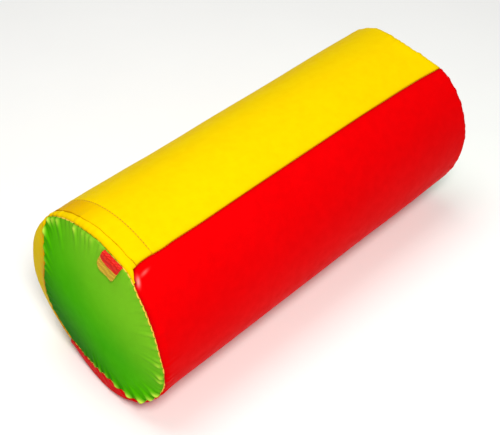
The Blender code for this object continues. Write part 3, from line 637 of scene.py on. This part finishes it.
def long_seam_lift(place, from_long):
    """The dip of the cover into a long seam, with the slight puckers of its stitches."""
    pucker = np.sin(2 * math.pi * place / 0.0068 + 1.3 * np.sin(place * 90))
    puff = 0.00022 * (1 + 0.6 * pucker) * hump(from_long - 0.0028, 0.0028)
    return puff - roll_depth(from_long) * (0.95 + 0.12 * pucker)


def painted_seam_shade(from_rims, from_long=1.0):
    """Painted shade: darker within a few millimetres of a seam, in its valley."""
    return np.clip(0.75 * np.exp(-from_long / 0.0012) + 0.6 * np.exp(-from_rims / 0.0014), 0, 1)


def tucked(place, angle, way):
    """Row of points where the cover's edge turns back inside a rim seam."""
    return cover_points(place + way * SEAM_TUCK, angle, -SEAM_DEPTH)


def corner_folds(place, angle):
    """The two loose folds of the red half at its near corner, and the dimple between them and the rim. It gives
    their heights, the folds' share for a painted highlight, and the dimple's share, which also paints shade.
    """

    def spot(x, degrees, way, length, width):
        """Soft long spot centred at a place and an angle, its length along the given way."""
        round_by, along_by = (angle - np.radians(degrees)) * RADIUS, place - x
        long = round_by * math.sin(way) + along_by * math.cos(way)
        short = round_by * math.cos(way) - along_by * math.sin(way)
        return np.exp(-((long / length) ** 2) - (short / width) ** 2)

    lower = spot(-0.2166, 128.4, 2.0, 0.0046, 0.0017)
    upper = spot(-0.2068, 126.3, -0.16, 0.0046, 0.0014)
    dimple = spot(-0.2198, 127.6, 1.3, 0.0026, 0.0016)
    return 0.0013 * lower + 0.0010 * upper - 0.0018 * dimple, lower + 0.5 * upper, dimple


def red_near_place(angle):
    """Near edge of the red half, drawn back from the rim seam over the strip's wedge."""
    return near_seam_place(angle) + strip_wedge(angle)


def red_half():
    """Red half of the cover, from rim seam to rim seam, on the front and below."""
    place, angle, from_long, _ = panel(red_near_place, front_seam, lambda p: back_seam(p) + 2 * math.pi)
    folds, fold_highlight, dimple = corner_folds(place, angle)
    from_edge = place - red_near_place(angle)
    rolled = roll_depth(from_edge) * np.clip(strip_wedge(angle) / 0.002, 0, 1)
    points = cover_points(place, angle, long_seam_lift(place, from_long) + folds - rolled)
    near, far = tucked(place[:1], angle[:1], 1), tucked(place[-1:], angle[-1:], -1)
    piece = grid_piece("red_cover", np.concatenate([near, points, far]), RED, flip=True)
    from_rims = np.minimum(from_edge, far_seam_place(angle) - place)
    # Painted shade along the seams and in the corner's dimple, and a painted highlight on the corner's folds
    mark(piece, "painted_shade", painted_seam_shade(from_rims, from_long) + dimple)
    mark(piece, "painted_highlight", 0.8 * fold_highlight**1.5)
    return piece


def flap_near_place(angle):
    """Near edge of the yellow half: the zip's flap, cut back at the window for the slider."""
    turn = (angle + math.pi / 2) % (2 * math.pi) - math.pi / 2
    cut = 1 - ease(turn, WINDOW_END - 0.004, WINDOW_END + 0.002)
    edge = FLAP_EDGE + 0.0004 * np.sin(7 * angle + 1) + 0.0003 * np.sin(17 * angle)
    edge = edge + 0.0022 * ease(turn, 1.98, 2.10) + 0.0015 * (1 - ease(turn, 0.9, 1.15))
    return edge + (WINDOW_EDGE - FLAP_EDGE) * cut


def yellow_half():
    """Yellow half of the cover, from the zip's flap to the far rim seam, on top and behind."""
    place, angle, _, near_at = panel(flap_near_place, back_seam, front_seam, FLAP_STEPS)
    # The rows are moved so that the topstitching has fine rows of its own
    stitch_rows = FLAP_STITCH + STITCH_ROWS
    steps = np.cumsum([0, *FLAP_STEPS])[:, None]
    head = near_at[0] + steps * (stitch_rows[0] - 0.0004 - near_at[0]) / steps[-1]
    tail = place[len(steps) :]
    moved = FLAP_STITCH + 0.0030 - tail[0]
    tail = tail + moved * (1 - np.clip((tail - tail[0]) / 0.10, 0, 1))
    place = np.concatenate([head, np.repeat(stitch_rows[:, None], place.shape[1], axis=1), tail])
    low, high = back_seam(place), front_seam(place)
    share = (angle[0] - angle[0, 0]) / (angle[0, -1] - angle[0, 0])
    angle = low + (high - low) * share
    from_long = np.minimum(angle - low, high - angle) * RADIUS
    # The topstitching pulls the cover down, most at each hole, and it puffs up beside it
    from_stitch = np.abs(place - FLAP_STITCH)
    needle = 0.75 + 0.25 * np.cos(2 * math.pi * angle * RADIUS / STITCH_PITCH)
    pulled = 0.0007 * needle * np.clip(1 - from_stitch / 0.0022, 0, 1) ** 1.6
    puff = 0.00018 * hump(from_stitch - 0.0032, 0.0022) * (1 + 0.7 * np.sin(angle * RADIUS / 0.0011))
    # The flap lies in slow waves, and its edge is folded
    on_flap = np.clip((FLAP_STITCH - 0.003 - place) / 0.018, 0, 1)
    wave = -0.00015 + 0.0002 * np.sin(11 * angle + 0.6) + 0.00015 * np.sin(27 * angle + 2.0)
    edge = np.maximum(place - flap_near_place(angle), 0)
    lift = long_seam_lift(place, from_long) - pulled + puff + on_flap**1.3 * wave - roll_depth(edge, 0.0006)
    inner = cover_points(place[:1] + 0.0040, angle[:1], lift[:1] - 0.0007)
    turned = cover_points(place[:1] + 0.0007, angle[:1], lift[:1] - 0.0006)
    points, far = cover_points(place, angle, lift), tucked(place[-1:], angle[-1:], -1)
    piece = grid_piece("yellow_cover", np.concatenate([inner, turned, points, far]), YELLOW, flip=True)
    # Painted shade: darker by the far rim seam and the long seams, in the topstitching's dip and along the flap's
    # folded edge
    painted_shade = painted_seam_shade(far_seam_place(angle) - place, from_long)
    painted_shade = painted_shade + 0.45 * np.clip(1 - from_stitch / 0.0009, 0, 1) + 0.3 * np.exp(-edge / 0.0005)
    # Painted shade: on the flap, between its topstitching and its edge, the yellow is deeper and more orange over
    # the back, where it turns away from the light
    flap_back_shade = ease(FLAP_STITCH + 0.001 - place, 0, 0.004) * ease(angle, 0.2, 0.7) * (1 - ease(angle, 1.1, 1.65))
    mark(piece, "painted_shade", painted_shade + 0.45 * flap_back_shade, above=2)
    return piece


def rim_strip():
    """Yellow strip between the near rim seam and the zip, which carries on below the flap."""
    steps = np.cumsum([0, *EDGE_STEPS, *[0.001] * 20])[:, None]
    start = back_seam(-0.22) - 0.012
    angle = start + (STRIP_POINT - start) * np.linspace(0, 1, 340) ** 1.15
    near_at = near_seam_place(angle)
    place = near_at + (STRIP_EDGE - near_at) * (steps / steps[-1])
    angle = np.repeat(angle[None], len(steps), axis=0)
    from_near = place - near_at
    below_red = ease(angle, FRONT_SEAM - 0.012, FRONT_SEAM + 0.004)
    below_red = below_red * ease(place - red_near_place(angle), -0.0008, 0.0008)
    # At the back seam its end turns in below the red half
    turned_in = 1 - ease((angle - start) * RADIUS, 0.0006, 0.0036)
    pulled = np.clip(1 - np.abs(place - STRIP_STITCH) / 0.0022, 0, 1) ** 1.6
    lift = -STRIP_DEPTH * ease(from_near, 0.0, 0.009) - 0.0013 * below_red - 0.0022 * turned_in
    lift = lift - 0.0005 * pulled - roll_depth(STRIP_EDGE - place, 0.0005)
    near, points = tucked(place[:1], angle[:1], 1), cover_points(place, angle, lift)
    under = cover_points(place[-1:] - 0.0030, angle[-1:], lift[-1:] - 0.0008)
    piece = grid_piece("yellow_rim_strip", np.concatenate([near, points, under]), YELLOW, flip=True)
    # Where the strip is turned over the end at the back, it lies in its own shade by the seam
    shaded = 0.8 * np.exp(-from_near / 0.005) * (1 - ease(angle, 0.3, 0.8))
    mark(piece, "painted_shade", painted_seam_shade(from_near) + shaded)
    return piece


def end_piece(name, side):
    """Domed green end, drawn into gathers all round its rim seam."""
    angle = np.linspace(0, 2 * math.pi, 760, endpoint=False)
    seam = near_seam_place(angle) if side < 0 else far_seam_place(angle)
    corner = near_end_x(angle) + CORNER if side < 0 else far_end_x(angle) - CORNER
    reach = CORNER_LENGTH + FACE_RADIUS - 0.002 - np.abs(seam - corner)
    # The rows follow the seam near the rim and are even circles further in
    steps = np.cumsum([0, *END_STEPS])
    fine = steps / steps[-1]
    inner_share = ease(fine, 0.15, 0.6)[:, None]
    away = steps[:, None] * (1 - inner_share) + fine[:, None] * reach[None] * inner_share
    away = np.maximum.accumulate(away, axis=0)
    place = seam[None] + side * away
    angles = np.repeat(angle[None], len(steps), axis=0)
    rim = cover_points(place[:1] + side * SEAM_TUCK, angles[:1], -SEAM_DEPTH)
    points = np.concatenate([rim, cover_points(place, angles, disc=True)])
    piece = grid_piece(name, points, GREEN, closed=True, last_cap=True, flip=side > 0)
    gathers = near_gathers if side < 0 else far_gathers
    ridge, valley = gathers.fold(angles, away)
    # Painted shade in the valleys between the gathers, and a painted highlight on their tips
    shade = 0.6 * valley * np.exp(-away / 0.007) * gathers.size(angles)
    tip_highlight = 0.8 * ridge**2 * hump(away - 0.003, 0.005)
    if side < 0:
        # Painted light on the near end: a painted highlight makes it paler towards the upper front, where the light
        # falls, and painted shade makes it darker towards the lower back
        radius = form(place, angles)[1]
        towards_light = radius / FACE_RADIUS * np.cos(angles - math.radians(130))
        shade = shade + 0.75 * ease(-towards_light, -0.10, 0.75)
        tip_highlight = tip_highlight + 0.26 * ease(towards_light, 0.0, 0.9)
    mark(piece, "painted_shade", painted_seam_shade(away) * 0.6 + shade, below=0)
    mark(piece, "painted_highlight", tip_highlight, below=0)
    return piece


def sunk_path(place, angle, depth, least):
    """Path at a depth below the bare form, and the outward direction along it."""
    x, radius, normal_x, normal_r = form(place, angle)
    up = np.stack([normal_x, normal_r * np.cos(angle), normal_r * np.sin(angle)], axis=-1)
    return placed(x - normal_x * depth, radius - normal_r * depth, angle, least), up


def rim_stitches(name, seam_place, gathers, thread_depth):
    """Single stitches in the valley of a rim seam."""
    angle = np.linspace(0, 2 * math.pi, 2400)
    path, up = sunk_path(seam_place(angle), angle, thread_depth(angle) / 1000, 0.0010)
    holes = gathers.edges / (2 * math.pi)
    return stitches(name, path, up, GATHER_PITCH, 0.97, 0.0015, PALE_THREAD, 0.0006, holes)


def long_stitches(name, seam, start, end):
    """Single stitches down in a long seam."""
    place = np.linspace(start, end, 900)
    path, up = sunk_path(place, seam(place), 0.0016, 0.0008)
    return stitches(name, path, up, STITCH_PITCH, 0.7, STITCH_THICKNESS, DARK_THREAD)


def arc_stitches(name, at, depth):
    """Single stitches of the topstitching round the yellow half, in its dip."""
    angle = np.linspace(BACK_SEAM + 0.02, FRONT_SEAM - 0.02, 1500)
    path = cover_points(np.full_like(angle, at), angle, -depth)
    up = path - np.array([at, 0, AXIS_HEIGHT])
    return stitches(name, path, up, STITCH_PITCH, 0.72, STITCH_THICKNESS, DARK_THREAD)


# ---------------------------------------------------------------- foam, label and zip


def foam_roll():
    """Foam cylinder below the cover, pressed in behind the zip and along the long seams."""
    angle = np.linspace(0, 2 * math.pi, 240, endpoint=False)
    turn = (angle + math.pi / 2) % (2 * math.pi) - math.pi / 2
    on_zip = ease(turn, BACK_SEAM - 0.050, BACK_SEAM - 0.018)
    on_zip = on_zip * (1 - ease(turn, FRONT_SEAM - 0.03, FRONT_SEAM - 0.01))
    seams = sum(hump(turn - seam, 0.03) for seam in (FRONT_SEAM, BACK_SEAM, FRONT_SEAM - 2 * math.pi))
    rows = []
    for place in [*np.linspace(-0.212, -0.18, 17), *np.linspace(-0.16, 0.20, 19), *np.linspace(0.207, 0.213, 3)]:
        pocket = 0.0086 * on_zip * ease(place, -0.2125, -0.2115) * (1 - ease(place, -0.1868, -0.1855))
        depth = 0.0014 + np.maximum(pocket, 0.0024 * seams)
        x, radius, _, _ = form(np.full_like(angle, place), angle)
        rows.append(placed(x, radius - depth, angle, 0.0016))
    for side, end_x in ((-1, near_end_x), (1, far_end_x)):
        face = []
        for share in (0.985, 0.93, 0.8, 0.6, 0.4, 0.2, 0.05):
            place = end_x(angle) - side * CORNER + side * (CORNER_LENGTH + FACE_RADIUS * (1 - share))
            x, radius, _, _ = form(place, angle)
            face.append(placed(x - side * 0.0048, radius - 0.002 * share, angle, 0.003))
        rows = face[::-1] + rows if side < 0 else rows + face
    return grid_piece("foam_roll", np.stack(rows), FOAM, closed=True, first_cap=True, last_cap=True, flip=True)


def label():
    """Plain two-coloured tag with rounded corners, caught in the rim seam and lying on the green end."""
    rows, columns, thickness = 34, 45, 0.0005
    across = np.linspace(-LABEL_WIDTH / 2, LABEL_WIDTH / 2, columns)[None]
    down = np.linspace(0, 1, rows)[:, None]
    side_share = np.abs(across) / (LABEL_WIDTH / 2)
    # Its corners are rounded, the back one more than the front one
    cut, begin = np.where(across < 0, 0.0080, 0.0045), np.where(across < 0, 0.30, 0.60)
    past = np.clip((side_share - begin) / (1 - begin), 0, 1)
    depth = down * (LABEL_HEIGHT - cut * (1 - np.sqrt(1 - past**2)))
    # It follows the rim, on circles that get smaller further down
    turn = LABEL_TURN + across / (0.093 - depth * 0.85)
    place = near_seam_place(turn) + 0.0003 - depth
    # The tag is stiff: it comes out of the seam and bridges the cover's folds
    fold, _ = near_gathers.fold(turn, np.maximum(near_seam_place(turn) - place, 0))
    curl = 0.0012 * side_share**3 * ease(depth, 0.004, 0.018)
    ripple = 0.0003 * np.sin(across * 420 + depth * 160)
    bridged = (0.0006 + 0.0008 * (1 - fold) + curl + ripple) * ease(depth, 0.0, 0.003)
    inner = cover_points(place, turn, 0.0006 + bridged, disc=True)
    outer = cover_points(place, turn, 0.0006 + thickness + bridged, disc=True)
    half = rows * columns
    faces = []
    for i in range(rows - 1):
        for j in range(columns - 1):
            a = i * columns + j
            faces.append((a, a + 1, a + columns + 1, a + columns))
            faces.append((half + a + columns, half + a + columns + 1, half + a + 1, half + a))
    ring = list(range(columns)) + [i * columns + columns - 1 for i in range(1, rows)]
    ring += [(rows - 1) * columns + j for j in range(columns - 2, -1, -1)]
    ring += [i * columns for i in range(rows - 2, 0, -1)]
    faces += [(b, a, half + a, half + b) for a, b in zip(ring, ring[1:] + ring[:1])]
    vertices = np.concatenate([outer.reshape(-1, 3), inner.reshape(-1, 3)])
    piece = joined_piece("plain_label", [(vertices, faces)], LABEL_RED)
    # Its lower half is ochre
    piece.data.materials.append(LABEL_OCHRE)
    for polygon in piece.data.polygons:
        if down[polygon.vertices[0] % half // columns, 0] > 0.5:
            polygon.material_index = 1
    line = outer[6, 4:-4] + np.array([-0.0001, 0, 0])
    up = np.repeat([[-1.0, 0.0, 0.1]], len(line), axis=0)
    return piece, stitches("label_stitches", line, up, 0.003, 0.7, STITCH_THICKNESS, LABEL_RED, 0.0002)


def zip_tape(name, points):
    """One woven tape of the zip, along (x, depth) points; below its stops it closes against the other tape."""
    # The lower end goes on a little way under the red half, so that no foam shows past it
    run_on = np.linspace(BACK_SEAM - 0.014, ZIP_START + 0.02, 24)
    angle = np.concatenate([run_on, np.linspace(ZIP_START + 0.025, ZIP_END, 250)])
    closing = 1 - ease(angle, ZIP_START + 0.008, ZIP_START + 0.015)
    section = [points[0]]
    for (x0, d0), (x1, d1) in zip(points, points[1:]):
        section += [(x0 + (x1 - x0) * share, d0 + (d1 - d0) * share) for share in (0.33, 0.66, 1.0)]
    columns = []
    for x, depth in section + [(x, depth + TAPE_THICKNESS) for x, depth in reversed(section)]:
        to_middle = (ZIP_X - x) * 0.97 if abs(x - ZIP_X) < 0.003 else 0.0
        columns.append(placed(x + closing * to_middle, RADIUS - depth, angle, 0.001))
    faces = [face[:1] + face[:0:-1] for face in tube_faces(len(angle), len(columns))]
    return joined_piece(name, [(np.stack(columns, axis=1).reshape(-1, 3), faces)], TAPE)


def zip_teeth(name, side):
    """Row of moulded teeth, each with its foot on the tape and a rounded head."""
    # The heads stop short of the middle, where the slider's post passes between the rows
    half = [(0.00045, 0.0005), (0.0007, 0.0009), (0.0011, 0.00095), (0.0014, 0.0006), (0.0026, 0.00065)]
    outline = [(x, -ahead) for x, ahead in reversed(half)] + half
    middle, rounding = 0.0011, 0.0003
    levels = [
        (TEETH_TOP, 0.86),
        (TEETH_TOP + rounding, 1.0),
        (TEETH_BOTTOM - rounding, 1.0),
        (TEETH_BOTTOM, 0.86),
    ]
    faces = tube_faces(len(levels), len(outline))
    if side < 0:
        faces = [face[::-1] for face in faces]
    parts = []
    for i in range(int((TEETH_END - TEETH_START) * TEETH_RADIUS / TEETH_PITCH)):
        # The two rows lie half a pitch apart, so that their teeth take turns
        centre = TEETH_START + (i + (0.75 if side > 0 else 0.25)) * TEETH_PITCH / TEETH_RADIUS
        vertices = []
        for depth, grow in levels:
            for x, ahead in outline:
                out = middle + (x - middle) * grow
                vertices.append(placed(ZIP_X + side * out, RADIUS - depth, centre + ahead * grow / TEETH_RADIUS))
        parts.append((vertices, faces))
    return joined_piece(name, parts, TEETH)


def bar_tack():
    """Dense zigzag of thread across the end of the flap."""
    centre = WINDOW_END + 0.02
    first, last = cover_points(np.array([FLAP_EDGE + 0.0008, WINDOW_EDGE - 0.001]), np.full(2, centre), 0.0004)
    out = first - np.array([ZIP_X, 0, AXIS_HEIGHT])
    out = out / np.linalg.norm(out)
    across = np.array([0, -math.sin(centre), math.cos(centre)])
    count, reach = 34, 0.0011
    index = np.arange(count)[:, None]
    points = first + (last - first) * index / (count - 1) + across * np.where(index % 2, reach, -reach)
    ups = np.repeat(out[None], count, axis=0)
    return stitches("flap_tack", points + out * 0.0001, ups, 0.0024, 0.96, 0.0005, DARK_THREAD, 0.00015)


# ---------------------------------------------------------------- assembly


def dress(piece, nodes):
    """The piece rides on the roller and stands for its solids, which are hidden."""
    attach(piece, "roller")
    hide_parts(*nodes)
    return piece


def assemble():
    """Makes every piece and puts it in place of its solid."""
    foam = dress(foam_roll(), ["foam_core"])
    red = dress(red_half(), ["red_panel"])
    yellow = dress(yellow_half(), ["yellow_panel"])
    strip = dress(rim_strip(), ["near_rim_strip"])
    near = dress(end_piece("green_end_near", -1), ["near_end_disc"])
    far = dress(end_piece("green_end_far", 1), ["far_end_disc"])
    near_thread = rim_stitches("near_rim_stitches", near_seam_place, near_gathers, near_thread_depth)
    dress(near_thread, ["near_rim_thread"])
    far_thread = rim_stitches("far_rim_stitches", far_seam_place, far_gathers, far_thread_depth)
    dress(far_thread, ["far_rim_thread"])
    dress(long_stitches("front_seam_stitches", front_seam, -0.212, 0.218), ["front_seam_thread"])
    dress(long_stitches("back_seam_stitches", back_seam, -0.190, 0.218), ["back_seam_thread"])
    dress(arc_stitches("flap_stitches", FLAP_STITCH, 0.0005), ["flap_stitch_thread"])
    strip_thread = arc_stitches("strip_stitches", STRIP_STITCH, STRIP_DEPTH + 0.0004)
    dress(strip_thread, ["strip_stitch_thread"])
    tag, tag_thread = label()
    dress(tag, ["label_tag"])
    dress(tag_thread, ["label_stitch_thread"])
    dress(bar_tack(), ["flap_end_tack"])
    near_section = [(-0.2115, 0.0034), (-0.2082, 0.0034), (-0.2051, 0.0052), (-0.2032, 0.0052)]
    far_section = [(-0.1974, 0.0052), (-0.1955, 0.0052), (-0.1920, 0.0024), (-0.1868, 0.0024)]
    dress(zip_tape("woven_tape_near", near_section), ["zip_tape_near"])
    dress(zip_tape("woven_tape_far", far_section), ["zip_tape_far"])
    dress(zip_teeth("moulded_teeth_near", -1), ["zip_teeth_near"])
    dress(zip_teeth("moulded_teeth_far", 1), ["zip_teeth_far"])
    # The zip's metal pieces are the solids themselves, with a fine soft edge
    for name in ("zip_stop_near", "zip_stop_far", "zip_bottom_stop", "zip_slider", "zip_pull_tab"):
        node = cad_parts[name]
        node.data.materials.clear()
        node.data.materials.append(NICKEL)
        soften = node.modifiers.new("soft edges", "BEVEL")
        soften.width = 0.00012
        soften.segments = 2
        soften.limit_method = "ANGLE"


def aimed(name, data, place, target):
    """Puts a lamp or camera at a place, looking at the target."""
    holder = bpy.data.objects.new(name, data)
    holder.location = place
    holder.rotation_euler = (Vector(target) - Vector(place)).to_track_quat("-Z", "Y").to_euler()
    bpy.context.scene.collection.objects.link(holder)
    return holder


def studio():
    """Pale floor, soft lights and the camera at the photograph's angle."""
    span = np.linspace(-3, 3, 25)
    x, y = np.meshgrid(span, span, indexing="ij")
    floor = grid_piece("studio_floor", np.stack([x, y, np.zeros_like(x)], axis=-1), PAPER)
    bpy.context.scene.view_settings.view_transform = "Standard"
    world = bpy.context.scene.world or bpy.data.worlds.new("studio")
    bpy.context.scene.world = world
    world.use_nodes = True
    sky = world.node_tree.nodes["Background"]
    sky.inputs["Color"].default_value = linear("#F6F8FA")
    sky.inputs["Strength"].default_value = 0.24
    for name, place, size, power, colour in (
        ("key", (-0.64, -0.88, 1.5), 0.5, 25.5, "#FFFDF8"),
        ("top", (-0.1, 0.4, 2.2), 1.5, 23.0, "#FFFFFF"),
    ):
        light = bpy.data.lights.new(name, "AREA")
        light.shape = "DISK"
        light.size = size
        light.energy = power
        light.color = linear(colour)[:3]
        aimed(name, light, place, (0, 0, 0.1))
    camera = bpy.data.cameras.new("photo view")
    camera.sensor_width = SENSOR_WIDTH
    camera.sensor_fit = "HORIZONTAL"
    camera.lens = FOCAL_LENGTH / PHOTO_WIDTH * SENSOR_WIDTH
    bpy.context.scene.camera = aimed("photo view", camera, CAMERA_PLACE, CAMERA_TARGET)


assemble()
studio()
